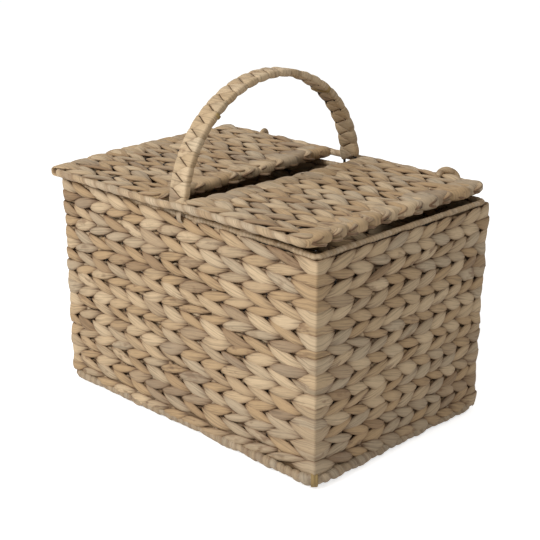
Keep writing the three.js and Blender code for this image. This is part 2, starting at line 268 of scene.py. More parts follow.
def twineTree():
    look = leafLook
    tree, start, size = geometryTree("twinedStrand", "Depth", "Rise", "Front", "Back", "Wide", "Narrow",
                                     "Full", "Tuck", "Ragged", "Wander", "Count")
    geometry, angle = sweep(tree, start, look["sides"])
    spine, out, face, course = kept(tree, *pathVectors)
    row, strand, twist, reach, cornerDarkening = kept(tree, "row", "strand", "twist", "reach", "cornerDarkening")
    place, rate, broad = kept(tree, "stake", "rate", "wide")
    pace = rate / look["ahead"]
    lift = face.cross(course)
    sag = (noise(spine, look["sagScale"]) - 0.5) * size["Wander"] * 2.0
    apart = arrow(*(row * share for share in look["rowApart"]))
    slip = (noise(spine + apart, look["slipScale"]) - 0.5) * look["slip"]
    stake = place + strand + slip

    # off runs from -1 to 1 about the middle of a leaf, and the leaf ends where it reaches Front
    def wave(place):
        off = place - (place * 0.5).math("ROUND") * 2.0
        far = off.math("ABSOLUTE")
        leafShare = far / size["Front"]
        neckShare = far.inverse() / size["Front"].inverse()
        behind = leafShare.math("GREATER_THAN", 1.0)
        share = leafShare.math("MINIMUM", neckShare)
        over = behind.mix((share ** 3.0).inverse(), (share ** 2.0).inverse() * size["Back"] * -1.0)
        straight, rounded = look["slant"]
        slant = off.math("SIGN") * (share * straight + (share * (math.pi / 2)).math("SINE") * rounded)
        return off, share, behind, over, slant

    off, share, behind, over, slant = wave(stake)
    laterOver, laterSlant = wave(stake + look["ahead"])[3:]
    leaf = (stake * 0.5).math("ROUND") * 2.0
    neck = (stake * 0.5).math("FLOOR") * 2.0 + 1.0
    which = (leaf + (neck - leaf) * behind).math("FLOORED_MODULO", size["Count"])
    which = which + row * look["rowStep"] + strand * look["strandStep"]
    first, second, third, fourth = chances(which, size["Seed"], 4)
    habit = chances(row * 2.0 + strand, size["Seed"] + 4.0, 1)[0]
    shown = (share ** look["widePower"]).inverse()
    stray = (first - 0.5) * size["Ragged"] * shown
    depth = size["Depth"] * fourth.mix(*look["deeper"])
    centre = spine + out * (depth * over) + lift * (size["Rise"] * slant * twist + stray + sag)
    slope = (laterSlant - slant) * size["Rise"] * twist * pace
    dive = (laterOver - over) * depth * pace
    tangent = (course + lift * slope + face * dive).unit()
    flat = face.cross(tangent).unit()
    proud = tangent.cross(flat)
    taper = shown * (off * (third - 0.5) * look["skew"] + 1.0) * behind.mix(1.0, look["neckWide"])
    wide = size["Wide"] * broad * second.mix(*look["wider"]) * habit.mix(*look["rowWider"])
    width = size["Narrow"] + (wide - size["Narrow"]) * taper
    swell = (share ** look["fullPower"]).inverse()
    thick = size["Tuck"] + (size["Full"] * third.mix(*look["fuller"]) - size["Tuck"]) * swell
    across, crest = section(angle, look["crestPower"])
    ridge = angle * look["ridges"] + first * look["ridgeShift"] + reach * look["ridgeAlong"]
    ridge = ridge.math("SINE") * look["ridge"] + 1.0
    roll = (first - 0.5) * look["roll"] * shown
    position = centre + flat * (width * across) + proud * (thick * crest * ridge + width * across * roll)
    fibreSeed = first + second * look["fibreStep"]
    fibre = arrow(reach + first * look["fibreShift"], width * across, fibreSeed)
    tone = arrow(second - cornerDarkening, third + cornerDarkening * look["cornerGrey"], first)
    # masks for painted shade, across the leaf toward its edges and along it toward the tucked necks, then the
    # chance of a real brown leaf
    wear = arrow(across.math("ABSOLUTE"), shown.inverse(), fourth + cornerDarkening * look["cornerBrown"])
    return finishTree(tree, start, geometry, position, fibre=fibre, tone=tone, wear=wear)


# a flat ribbon along its path, as wide at each point as the path says
ribbonLook = {
    "sides": 12,
    "crestPower": 0.5,
    "roll": 0.06,
    "ripples": 5.0,
    "rippleShift": 6.0,
    "ripple": 0.16,
    "fibreShift": 2.0,
    "fibreStep": 7.0,
    # how far painted shade reaches across the ribbon, and how strong it is at its narrow tips
    "edgeShadeScale": (0.9, 0.45),
    "tipShadeScale": 0.7,
}


def ribbonTree():
    look = ribbonLook
    tree, start, size = geometryTree("flatRibbon", "Wide", "Full", "Bow", "Lap")
    geometry, angle = sweep(tree, start, look["sides"])
    spine, face, course = kept(tree, "spine", "face", "course")
    share, half, puff, row, reach = kept(tree, "wide", "half", "puff", "row", "reach")
    flat = face.cross(course)
    first, second, third = chances(row, size["Seed"], 3)
    across, crest = section(angle, look["crestPower"])
    width = size["Wide"] * share * half
    bow = across * across * share * size["Bow"] * puff
    roll = (third - 0.5) * look["roll"] * width * across + across * share * size["Lap"]
    ripple = (across * look["ripples"] + first * look["rippleShift"]).math("SINE")
    ripple = ripple * share * size["Full"] * look["ripple"]
    position = spine + flat * (width * across) + face * (size["Full"] * crest - bow + roll + ripple)
    fibreSeed = first + second * look["fibreStep"]
    fibre = arrow(reach + first * look["fibreShift"], width * across, fibreSeed)
    tone = arrow(second, third, first)
    # masks for painted shade toward the ribbon's edges and narrow tips, then the chance of a real brown
    # ribbon
    edge = across.math("ABSOLUTE") * share.mix(*look["edgeShadeScale"])
    wear = arrow(edge, share * -look["tipShadeScale"] + look["tipShadeScale"], third)
    return finishTree(tree, start, geometry, position, fibre=fibre, tone=tone, wear=wear)


# a narrow strip wound close round a wire
woundLook = {
    "sides": 12,
    "humpPower": 3.0,
    "humpVary": (0.4, 1.0),
    "lumpScale": 45.0,
    "fibreAround": 0.02,
    "fibreStep": 0.37,
}


def woundTree():
    look = woundLook
    tree, start, size = geometryTree("woundStrip", "Radius", "Pitch", "Swell", "Lumps")
    geometry, angle = sweep(tree, start, look["sides"])
    spine, face, course = kept(tree, "spine", "face", "course")
    reach, wide, around = kept(tree, "reach", "wide", "around")
    lift = face.cross(course)
    count = reach / size["Pitch"] + around
    which = count.math("FLOOR")
    first, second, third = chances(which, size["Seed"], 3)
    share = count.math("FRACT")
    edge = (share * 2.0 - 1.0).math("ABSOLUTE")
    hump = size["Swell"] * (edge ** look["humpPower"]).inverse() * second.mix(*look["humpVary"])
    lump = (noise(spine, look["lumpScale"]) - 0.5) * size["Lumps"] * 2.0
    radius = (size["Radius"] - size["Swell"] + hump + lump) * wide
    position = spine + face * (radius * angle.math("COSINE")) + lift * (radius * angle.math("SINE"))
    fibreSeed = first + which * look["fibreStep"]
    fibre = arrow(around * look["fibreAround"], share * size["Pitch"], fibreSeed)
    tone = arrow(first, second, third)
    # painted shade at the seams between turns, then the chance of a real brown turn
    wear = arrow(edge, 0.0, third)
    return finishTree(tree, start, geometry, position, fibre=fibre, tone=tone, wear=wear)


# paths: strands of stations, with these values where a station doesn't give its own
stationDefaults = {
    "stake": 0.0,
    "rate": 1.0,
    "twist": 1.0,
    "wide": 1.0,
    "half": 1.0,
    "puff": 1.0,
    "cornerDarkening": 0.0,
}


class Path:
    def __init__(self):
        self.edges = []
        self.fields = {label: [] for label in (*pathVectors, *stationDefaults, "strand", "row", "reach")}

    def strand(self, stations, closed, number=0, row=0):
        spine = self.fields["spine"]
        first = len(spine)
        reach = 0.0
        for station in stations:
            if len(spine) > first:
                reach += (station["at"] - spine[-1]).length
            point = {**stationDefaults, "out": station["face"], **station, "spine": station["at"],
                     "strand": float(number), "row": float(row), "reach": reach}
            for label, values in self.fields.items():
                values.append(point[label])
        last = len(spine) - 1
        self.edges += [(i, i + 1) for i in range(first, last)]
        if closed:
            self.edges.append((last, first))
        return self

    def mesh(self, name):
        mesh = bpy.data.meshes.new(name)
        mesh.from_pydata(self.fields["spine"], self.edges, [])
        for label, values in self.fields.items():
            if label in pathVectors:
                layer = mesh.attributes.new(label, "FLOAT_VECTOR", "POINT")
                layer.data.foreach_set("vector", [part for value in values for part in value])
            else:
                layer = mesh.attributes.new(label, "FLOAT", "POINT")
                layer.data.foreach_set("value", values)
        return mesh


def bake(name, path, tree, values, finish, body, nodes=(), seed=1):
    carrier = bpy.data.objects.new(name + "Path", path.mesh(name + "Path"))
    scene.collection.objects.link(carrier)
    modifier = carrier.modifiers.new("make", "NODES")
    modifier.node_group = tree
    wanted = {**values, "Seed": seed, "Finish": finish}
    for item in tree.interface.items_tree:
        if item.in_out == "INPUT" and item.name in wanted:
            modifier[item.identifier] = wanted[item.name]
    graph = bpy.context.evaluated_depsgraph_get()
    mesh = bpy.data.meshes.new_from_object(carrier.evaluated_get(graph), depsgraph=graph)
    bpy.data.objects.remove(carrier)
    for label in ("around", *path.fields):
        if label in mesh.attributes:
            mesh.attributes.remove(mesh.attributes[label])
    work = bmesh.new()
    work.from_mesh(mesh)
    bmesh.ops.recalc_face_normals(work, faces=work.faces)
    work.to_mesh(mesh)
    work.free()
    piece = bpy.data.objects.new(name, mesh)
    scene.collection.objects.link(piece)
    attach(piece, body)
    if nodes:
        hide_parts(*nodes)
    print(name, len(mesh.polygons), "faces")


# materials
fibreLook = {
    # each noise: its scale along and across the fibre, the step of its seed and its detail
    "fine": (70.0, 2300.0, 31.0, 2.0),
    "fold": (22.0, 520.0, 17.0, 2.0),
    "patch": (65.0, 140.0, 11.0, 3.0),
    "pale": (0.2, 0.95),
    "grey": (0.55, 1.0),
    "greyShare": 0.75,
    "brown": (0.78, 1.0),
    "brownShare": 0.5,
    "spot": (0.5, 0.7),
    "spotted": (0.6, 1.0),
    "spotShare": 0.8,
    # how much painted shade falls in creases, along edges and rims and at tucked tips, with some browning
    "creaseShade": (0.5, 0.36),
    "creaseShadeShare": 0.5,
    "edgeShadeShare": 0.3,
    "rimShadeShare": 0.5,
    "tipShadeShare": 0.95,
    "fineFrom": (0.25, 0.6),
    "fineShade": (0.82, 1.04),
    "foldFrom": (0.34, 0.5),
    "foldShade": (0.76, 1.02),
    "patchShade": (0.9, 1.1),
    "rough": (0.78, 0.52),
    "foldHeight": 0.7,
    "fineHeight": 0.3,
    "reliefDepth": 1.2 * mm,
    "specular": 0.35,
}


def fibreGroup():
    look = fibreLook
    tree = bpy.data.node_groups.new("driedFibre", "ShaderNodeTree")
    for label in ("Straw", "Pale", "Grey", "Stain"):
        tree.interface.new_socket(label, in_out="INPUT", socket_type="NodeSocketColor")
    for label, kind in (("Colour", "Color"), ("Roughness", "Float"), ("Height", "Float")):
        tree.interface.new_socket(label, in_out="OUTPUT", socket_type="NodeSocket" + kind)
    start = tree.nodes.new("NodeGroupInput")
    end = tree.nodes.new("NodeGroupOutput")

    def attribute(name):
        node = tree.nodes.new("ShaderNodeAttribute")
        node.attribute_name = name
        return Arrow(tree, node.outputs["Vector"]).parts()

    def grain(alongScale, acrossScale, seedStep, detail):
        where = arrow(along * alongScale, across * acrossScale, seed * seedStep)
        return noise(where, detail=detail)

    def blend(factor, low, high, mode="MIX"):
        node = tree.nodes.new("ShaderNodeMix")
        node.data_type = "RGBA"
        node.blend_type = mode
        plug(node.inputs["Factor"], factor)
        tree.links.new(low, node.inputs[6])
        tree.links.new(high, node.inputs[7])
        return node.outputs[2]

    along, across, seed = attribute("fibre")
    first, second, third = attribute("tone")
    # edge and tip mark where painted shade falls; chanceBrown is real browning
    edge, tip, chanceBrown = attribute("wear")
    fine, fold, patch = [grain(*look[label]) for label in ("fine", "fold", "patch")]
    # this colour gives the real brown stains and spots, and also the painted shade at edges, tips and creases
    stain = start.outputs["Stain"]
    colour = blend(first.window(*look["pale"]), start.outputs["Straw"], start.outputs["Pale"])
    colour = blend(second.window(*look["grey"]) * look["greyShare"], colour, start.outputs["Grey"])
    colour = blend(chanceBrown.window(*look["brown"]) * look["brownShare"], colour, stain)
    spots = patch.window(*look["spot"]) * third.window(*look["spotted"]) * look["spotShare"]
    colour = blend(spots, colour, stain)
    # painted shade: colour pulled to the Stain colour along leaf and turn edges, at tucked tips and in
    # creases near them, where one passes under another; partly real browning of edges and tips
    shadeAndBrowning = (edge ** 2.0) * look["edgeShadeShare"] + (edge ** 6.0) * look["rimShadeShare"]
    creaseShade = fold.window(*look["creaseShade"]) * tip
    shadeAndBrowning = shadeAndBrowning + (tip ** 2.0) * look["tipShadeShare"] + creaseShade * look["creaseShadeShare"]
    colour = blend(shadeAndBrowning.math("MINIMUM", 1.0), colour, stain)
    streak = fine.window(*look["fineFrom"]).mix(*look["fineShade"])
    streak = streak * fold.window(*look["foldFrom"]).mix(*look["foldShade"]) * patch.mix(*look["patchShade"])
    colour = blend(1.0, colour, arrow(streak, streak, streak).socket, "MULTIPLY")
    tree.links.new(colour, end.inputs["Colour"])
    plug(end.inputs["Roughness"], fine.mix(*look["rough"]))
    plug(end.inputs["Height"], fold * look["foldHeight"] + fine * look["fineHeight"])
    return tree


def newMaterial(name, specular):
    material = bpy.data.materials.new(name)
    material.use_nodes = True
    shader = material.node_tree.nodes["Principled BSDF"]
    shader.inputs["Specular IOR Level"].default_value = specular
    return material, material.node_tree, shader


fibreShade = fibreGroup()


def fibreMaterial(name, relief, **colours):
    material, tree, shader = newMaterial(name, fibreLook["specular"])
    group = tree.nodes.new("ShaderNodeGroup")
    group.node_tree = fibreShade
    for label, value in colours.items():
        group.inputs[label.title()].default_value = (*value, 1.0)
    bump = tree.nodes.new("ShaderNodeBump")
    bump.inputs["Strength"].default_value = relief
    bump.inputs["Distance"].default_value = fibreLook["reliefDepth"]
    tree.links.new(group.outputs["Colour"], shader.inputs["Base Color"])
    tree.links.new(group.outputs["Roughness"], shader.inputs["Roughness"])
    tree.links.new(group.outputs["Height"], bump.inputs["Height"])
    tree.links.new(bump.outputs["Normal"], shader.inputs["Normal"])
    return material


wireLook = {
    "specular": 0.2,
    "rough": 0.6,
    "speckScale": 900.0,
    "dark": (0.012, 0.011, 0.01, 1),
    "light": (0.035, 0.03, 0.027, 1),
}


def wireMaterial():
    material, tree, shader = newMaterial("blackWire", wireLook["specular"])
    where = tree.nodes.new("ShaderNodeTexCoord")
    speck = tree.nodes.new("ShaderNodeTexNoise")
    speck.inputs["Scale"].default_value = wireLook["speckScale"]
    tree.links.new(where.outputs["Object"], speck.inputs["Vector"])
    ramp = tree.nodes.new("ShaderNodeValToRGB")
    for element, label in zip(ramp.color_ramp.elements, ("dark", "light")):
        element.color = wireLook[label]
    tree.links.new(speck.outputs["Fac"], ramp.inputs["Fac"])
    tree.links.new(ramp.outputs["Color"], shader.inputs["Base Color"])
    shader.inputs["Roughness"].default_value = wireLook["rough"]
    return material


# each finish's stain colour is also the colour of its painted shade
strandFinish = fibreMaterial("hyacinthStrand", 0.5, straw=(0.445, 0.3, 0.16), pale=(0.6, 0.45, 0.28),
                             grey=(0.44, 0.35, 0.24), stain=(0.17, 0.095, 0.048))
stripFinish = fibreMaterial("hyacinthStrip", 0.4, straw=(0.46, 0.33, 0.195), pale=(0.53, 0.405, 0.265),
                            grey=(0.46, 0.36, 0.245), stain=(0.25, 0.15, 0.08))
bandFinish = fibreMaterial("hyacinthBand", 0.5, straw=(0.5, 0.36, 0.21), pale=(0.62, 0.475, 0.305),
                           grey=(0.52, 0.42, 0.29), stain=(0.22, 0.13, 0.07))
# darker and greyer than the rim strip: painted shade of the foot roll near the floor; the rim tie takes these
# colours as its own grey
footFinish = fibreMaterial("hyacinthFoot", 0.4, straw=(0.36, 0.265, 0.165), pale=(0.43, 0.33, 0.22),
                           grey=(0.36, 0.29, 0.205), stain=(0.19, 0.12, 0.07))
# a near-black brown: painted shade for the strands inside the weave and the handle, seen through their gaps
shadedCoreFinish = fibreMaterial("hyacinthShadedCore", 0.4, straw=(0.13, 0.075, 0.035), pale=(0.16, 0.1, 0.05),
                           grey=(0.12, 0.08, 0.045), stain=(0.06, 0.035, 0.02))
ochreFinish = fibreMaterial("ochreStrip", 0.4, straw=(0.37, 0.24, 0.075), pale=(0.41, 0.29, 0.115),
                            grey=(0.35, 0.25, 0.105), stain=(0.2, 0.12, 0.04))
wireFinish = wireMaterial()
print("materials made")

twined = twineTree()
ribbon = ribbonTree()
wound = woundTree()

# walls: rings of twined strands on the mid-plane of the four walls
strandShape = {"Front": 0.77, "Back": 0.35, "Tuck": 1.3 * mm}
wall = {
    "rows": 18,
    "perBraid": 2,
    "thickness": 14 * mm,
    "stakes": (12, 10),  # on a long and on a short wall
    "cornerReach": 2.4 * mm,
    "cornerStops": (0.7 * mm, 1.5 * mm),
    "cornerCut": 0.4 * mm,
    "samples": 12,
    "strand": {**strandShape, "Depth": 4.6 * mm, "Rise": 4.8 * mm, "Wide": 7.2 * mm, "Narrow": 1.2 * mm,
               "Full": 1.9 * mm, "Ragged": 2.4 * mm, "Wander": 2.4 * mm, "Count": 44.0},
    "spread": (1.08, 1.12, 1.0, 1.0),  # front, right, back, left
    "cornerWide": 0.22,
    "cornerWideReach": 30 * mm,
    "turnReach": 9 * mm,
    "sideWide": (0.0, 0.0, 0.2, 0.05),  # front, right, back, left
    "leftRise": 14 * mm,
    "backRise": 7 * mm,
    "backHump": 7.5 * mm,
    "backPush": 4 * mm,
    "frontHump": 1.5 * mm,
    "humpStart": 0.12,
    "footReach": 22 * mm,
    "footPush": 4.5 * mm,
    "footDrop": 4.5 * mm,
    "leftLift": 9 * mm,
    "leftRun": 100 * mm,
    "footLift": 9 * mm,
    "liftReach": 90 * mm,
    "cornerRun": 150 * mm,
    # leaves turn darker, greyer and browner towards the front right corner and the bottom
    "darkRun": 260 * mm,
    "darkReach": 85 * mm,
    "darkPower": 0.6,
    "liningRow": 200,
}
wall["halfX"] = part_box("wall_right")[1][0] - wall["thickness"] / 2
wall["halfY"] = -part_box("wall_front")[0][1] - wall["thickness"] / 2
wall["low"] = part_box("wall_front")[0][2]
wall["high"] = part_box("wall_front")[1][2]


def clamp(share):
    return min(max(share, 0.0), 1.0)


def smooth(share):
    share = clamp(share)
    return share * share * (3 - 2 * share)


# the middle of a solid along one axis
def boxMiddle(node, axis):
    low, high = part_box(node)
    return (low[axis] + high[axis]) / 2


# the weave is not quite square: it stands higher towards the left, the back and the middle of the front,
# and leans out at the back right
def settle(spot, leftRise):
    share = spot.z / wall["high"]
    fromRight = clamp((wall["halfX"] - spot.x) / (2 * wall["halfX"]))
    fromFront = clamp((wall["halfY"] + spot.y) / (2 * wall["halfY"]))
    atBack = wall["backRise"] + wall["backHump"] * math.sin(fromRight * math.pi) * fromFront ** 2
    hump = smooth(fromRight / wall["humpStart"]) * min((1 - fromRight) * 2, 1.0) ** 2
    atFront = fromRight * leftRise + wall["frontHump"] * hump
    rise = max(atFront * (1 - fromFront), fromFront * atBack)
    push = wall["backPush"] * (1 - fromRight) ** 2 * fromFront ** 2
    return spot + Vector((push, push, rise)) * share ** 2


# 1 at the front right corner, 0 from some way along its two walls
def cornerShare(spot, farthest=wall["cornerRun"]):
    run = abs(wall["halfX"] - spot.x) + abs(wall["halfY"] + spot.y)
    return max(1 - run / farthest, 0.0)


# where each side of a level rectangle begins, from the front left corner round, its course, face and length
def fourSides(halfX, halfY, height):
    for side, (signX, signY) in enumerate(cornerSigns):
        course = Vector((-signX - signY, signX - signY, 0)) / 2
        begin = Vector((signX * halfX, signY * halfY, height))
        yield begin, course, course.cross(up), 2 * (halfX, halfY)[side % 2]


# a ring round the four walls, with the stakes counted round from the front left corner
def wallRing(height, twist):
    frontLeft = Vector((-wall["halfX"], -wall["halfY"], 0))
    hang = max(1 - height / wall["footReach"], 0.0)
    stations = []
    count = 0
    for side, (begin, course, face, length) in enumerate(fourSides(wall["halfX"], wall["halfY"], height)):
        stakes = wall["stakes"][side % 2]
        spread = wall["spread"][side]
        # neighbouring walls slant opposite ways, so a leaf round a corner lies level there
        slant = twist if side % 2 == 0 else -twist
        total = stakes * wall["samples"]
        travels = [length * i / total for i in range(total)]
        for stop in wall["cornerStops"]:
            travels += [stop, length - stop]
        for travel in sorted(travels):
            # the stakes stand wider apart towards the front right corner
            share = travel / length
            passed = 1 - (1 - share) ** spread if side == 0 else share ** spread
            near = min(travel, length - travel)
            bend = max(1 - near / wall["cornerReach"], 0.0)
            away = -course if travel < length / 2 else course
            lean = bend * math.pi / 4
            turned = face * math.cos(lean) + away * math.sin(lean)
            mitre = face + away * bend
            spot = begin + course * travel - mitre * (wall["cornerCut"] * bend)
            # the lowest leaves hang over the strip of the foot along the middle of the front
            bare = smooth(cornerShare(spot))
            leftBare = smooth(1 - (spot - frontLeft).xy.length / wall["leftRun"])
            lift = wall["footLift"] * bare * max(1 - height / wall["liftReach"], 0.0)
            lift += wall["leftLift"] * leftBare * hang
            drop = wall["footDrop"] * hang * (1 - bare) * (1 - leftBare) if side == 0 else 0.0
            spot += mitre * (wall["footPush"] * hang * (1 - leftBare)) + up * (lift - drop)
            # leaves are drawn darker, greyer and browner towards the front right corner and the bottom of the
            # wall
            cornerDarkening = cornerShare(spot, wall["darkRun"]) ** wall["darkPower"]
            wide = 1 + wall["cornerWide"] * max(1 - near / wall["cornerWideReach"], 0.0)
            stations.append({
                "at": settle(spot, wall["leftRise"]),
                "out": mitre,
                "face": turned,
                "course": up.cross(turned),
                "stake": count + passed * stakes,
                "rate": stakes / length,
                "twist": slant * smooth(near / wall["turnReach"]),
                "wide": wide + wall["sideWide"][side],
                "cornerDarkening": cornerDarkening * smooth(1 - height / wall["darkReach"]),
            })
        count += stakes
    return stations


# both strands of a row, and the leaves that line its other side
def twineRow(path, stations, row):
    lining = []
    for station in stations:
        lining.append({**station, **{label: -station[label] for label in ("out", "face", "twist")}})
    for number in range(2):
        path.strand(stations, True, number, row)
        path.strand(lining, True, number, row + wall["liningRow"])


rowPitch = (wall["high"] - wall["low"]) / wall["rows"]
for braid in range(wall["rows"] // wall["perBraid"]):
    path = Path()
    for row in range(braid * wall["perBraid"], (braid + 1) * wall["perBraid"]):
        height = wall["high"] - (row + 0.5) * rowPitch
        twineRow(path, wallRing(height, -1.0 if row % 2 == 0 else 1.0), row)
    nodes = ("wall_front", "wall_back", "wall_left", "wall_right") if braid == 0 else ()
    bake(f"wallBraid{braid + 1}", path, twined, wall["strand"], strandFinish, "basket", nodes,
         seed=11)
print("walls woven")

# the handle stands in an upright plane, turned a little from front to back, and the lid's slot follows it
handle = {
    "turns": 25,
    "bareTurns": 2,
    "shoulder": 0.016,
    "shift": 4.75 * mm,
    "yaw": math.radians(2.7),
    "thickness": 9 * mm,
    "width": 28 * mm,
    "point": 8.5 * mm,
    "pointVary": 1.1 * mm,
    "varyTurn": 2.4,
    "corner": 2.2 * mm,
    "dip": 0.5 * mm,
    "joint": math.radians(48),
    "puff": 9.0,
    "slit": 0.6 * mm,
    "cut": 2.6 * mm,
    "coreSteps": 60,
    "coreShort": 2,
    "ribbon": {"Wide": 8.9 * mm, "Full": 0.9 * mm, "Bow": 0.11 * mm, "Lap": 0.0},
    "core": {"Wide": 12 * mm, "Full": 2.9 * mm, "Bow": 0.0, "Lap": 0.0},
}
handleAlong = Vector((math.sin(handle["yaw"]), math.cos(handle["yaw"]), 0))
handleAcross = Vector((math.cos(handle["yaw"]), -math.sin(handle["yaw"]), 0))

# lid: hairpin rows in the tilted and rolled plane of the hinge line
joint = frame["record"]["behaviour"]["joints"][0]
hinge = Vector(joint["pos_m"])
lid = {
    "tilt": math.radians(2.5),
    "roll": math.atan2(joint["axis"][2], -joint["axis"][0]),
    "slotWidth": 38 * mm,
    "slotLeft": -28 * mm,
    "slotFlare": 5 * mm,
    "leftBulge": 8 * mm,
    "leftPower": 0.7,
    "rightShort": 5 * mm,
    "rightPower": 0.5,
    "lift": {"left": 0.2 * mm, "slot": 1.4 * mm, "beyond": 4.9 * mm, "right": 6.0 * mm},
    "kinkRun": 50 * mm,
    "climbRun": 100 * mm,
    "liftPower": 1.5,
    "braids": 11,
    "stakes": 5,
    "samples": 12,
    "rodInset": 9 * mm,
    "edge": 2.5 * mm,
    "firstRow": {"left": 40, "right": 70},
    "strand": {**strandShape, "Depth": 4.6 * mm, "Rise": 6.6 * mm, "Wide": 6.8 * mm, "Narrow": 1.2 * mm,
               "Full": 2.0 * mm, "Ragged": 3.0 * mm, "Wander": 3.0 * mm, "Count": 12.0},
}
lid["front"] = (hinge.y - boxMiddle("lid_wrap_front", 1)) / math.cos(lid["tilt"])
lid["left"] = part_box("lid_panel_left")[0][0]
lid["right"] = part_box("lid_panel_right")[1][0]
lidTurn = Matrix.Rotation(lid["roll"], 3, "Y") @ Matrix.Rotation(lid["tilt"], 3, "X")
lidUp = lidTurn @ up
wovenFront = -lid["front"] + lid["edge"]
wovenDepth = lid["front"] - 2 * lid["edge"]


# 0 at the hinge, 1 at the front edge
def frontShare(y):
    return clamp(-y / lid["front"])


# the front edge rises to the right, with a kink behind the handle
def lidLift(x, y):
    lift = lid["lift"]
    ahead = smooth((x - lid["left"]) / (lid["slotLeft"] - lid["left"])) * (lift["slot"] - lift["left"])
    kink = smooth((x - lid["slotLeft"]) / lid["kinkRun"]) * (lift["beyond"] - lift["slot"])
    climb = smooth((x - lid["slotWidth"]) / lid["climbRun"]) * (lift["right"] - lift["beyond"])
    return (lift["left"] + ahead + kink + climb) * frontShare(y) ** lid["liftPower"]


def toLid(point):
    return hinge + lidTurn @ point + up * lidLift(point.x, point.y)


# the right panel keeps close to the handle, the left one stops well short of it and bulges at its end
def rightSlotEdge(y):
    middle = handle["shift"] + (hinge.y + y * math.cos(lid["tilt"])) * math.tan(handle["yaw"])
    return middle + lid["slotWidth"] / 2


def leftSlotEdge(y):
    return lid["slotLeft"] - lid["slotFlare"] * (1 + y / lid["front"])


def leftEnd(y):
    return lid["left"] - lid["leftBulge"] * math.sin(frontShare(y) * math.pi) ** lid["leftPower"]


def rightEnd(y):
    return lid["right"] - lid["rightShort"] * math.sin(frontShare(y) * math.pi) ** lid["rightPower"]


lidEdges = {
    "left": (leftEnd, leftSlotEdge),
    "right": (rightSlotEdge, rightEnd),
}
hairpinTurn = {"bends": 10, "bulge": 0.75}


# a flat loop: out along one row, round the end rod, back along the next row and round the other rod
def hairpin(low, high, nearEdge, farEdge, stakes, samples, place, turn):
    middle = (low + high) / 2
    radius = (high - low) / 2
    normal = turn @ up
    bends = hairpinTurn["bends"]
    total = stakes * samples
    stations = []

    def add(x, y, course, stake, rate, twist):
        stations.append({"at": place(Vector((x, y, 0))), "out": normal, "face": normal,
                         "course": turn @ course, "stake": stake, "rate": rate, "twist": twist})

    for y, sign, first in ((low, 1, 0), (high, -1, stakes + 1)):
        near, far = nearEdge(y), farEdge(y)
        begin, end = (near, far) if sign > 0 else (far, near)
        for i in range(total):
            share = i / total
            add(begin + (end - begin) * share, y, Vector((sign, 0, 0)), first + stakes * share,
                stakes / (far - near), sign)
        tip = (farEdge if sign > 0 else nearEdge)(middle)
        for i in range(bends):
            angle = math.pi * i / bends
            ahead, aside = math.cos(angle), math.sin(angle)
            add(tip + sign * radius * aside * hairpinTurn["bulge"], middle - sign * radius * ahead,
                Vector((ahead, aside, 0)) * sign, first + stakes + i / bends, 1 / (math.pi * radius), sign)
    return stations


# a panel of hairpins, one behind the other
def hairpinPanel(shape, front, depth, nearEdge, farEdge, place, turn, firstRow):
    path = Path()
    width = depth / shape["braids"]
    for braid in range(shape["braids"]):
        start = front + (braid + 0.25) * width
        stations = hairpin(start, start + width / 2, nearEdge, farEdge, shape["stakes"], shape["samples"],
                           place, turn)
        twineRow(path, stations, braid + firstRow)
    return path


for side, (nearEdge, farEdge) in lidEdges.items():
    path = hairpinPanel(lid, wovenFront, wovenDepth, lambda y: nearEdge(y) + lid["rodInset"],
                        lambda y: farEdge(y) - lid["rodInset"], toLid, lidTurn, lid["firstRow"][side])
    bake(f"lidWeave{side.title()}", path, twined, lid["strand"], strandFinish, "lid",
         (f"lid_panel_{side}",), seed=23)
print("lid woven")

# base: the same hairpin rows lying flat on the floor wires
base = {
    "braids": 9,
    "stakes": 11,
    "samples": 10,
    "inset": 4 * mm,
    "spare": 4.5 * mm,
    "firstRow": 100,
    "strand": {**strandShape, "Depth": 3.6 * mm, "Rise": 5.2 * mm, "Wide": 8.2 * mm, "Narrow": 1.3 * mm,
               "Full": 2.0 * mm, "Ragged": 1.6 * mm, "Wander": 1.6 * mm, "Count": 24.0},
}
low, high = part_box("base_panel")
baseMiddle = Vector((0, 0, (low[2] + high[2]) / 2))
path = hairpinPanel(base, low[1] - base["spare"], high[1] - low[1] + 2 * base["spare"],
                    lambda y: low[0] + base["inset"], lambda y: high[0] - base["inset"],
                    lambda point: baseMiddle + point, Matrix.Identity(3), base["firstRow"])
bake("baseWeave", path, twined, base["strand"], strandFinish, "basket", ("base_panel",), seed=37)
print("base woven")

# rim, foot and lid wires with a strip wound round them
wrap = {
    "step": 1.2 * mm,
    "cornerRadius": 9 * mm,
    "cornerSteps": 8,
    "cornerTail": 6 * mm,
    "runSteps": 40,
    "footOut": 4.0 * mm,
    "footBelly": Vector((3.5, 6.0, 0)) * mm,  # on the right and on the front
    "footSwell": 0.42,
    "footCorner": 12 * mm,
    "footHeight": 6.7 * mm,
    "band": {"Wide": 8 * mm, "Full": 1.0 * mm, "Bow": 0.0, "Lap": 0.0},
    "bandLift": 7 * mm,
    "bandInset": 1 * mm,
    "lidRodInset": 7 * mm,
    "rim": {"Radius": 3.6 * mm, "Pitch": 5.0 * mm, "Swell": 0.6 * mm, "Lumps": 0.5 * mm},
    "foot": {"Radius": 4.8 * mm, "Pitch": 11 * mm, "Swell": 1.2 * mm, "Lumps": 2.4 * mm},
    "lid": {"Radius": 4.7 * mm, "Pitch": 22 * mm, "Swell": 0.8 * mm, "Lumps": 0.9 * mm},
}


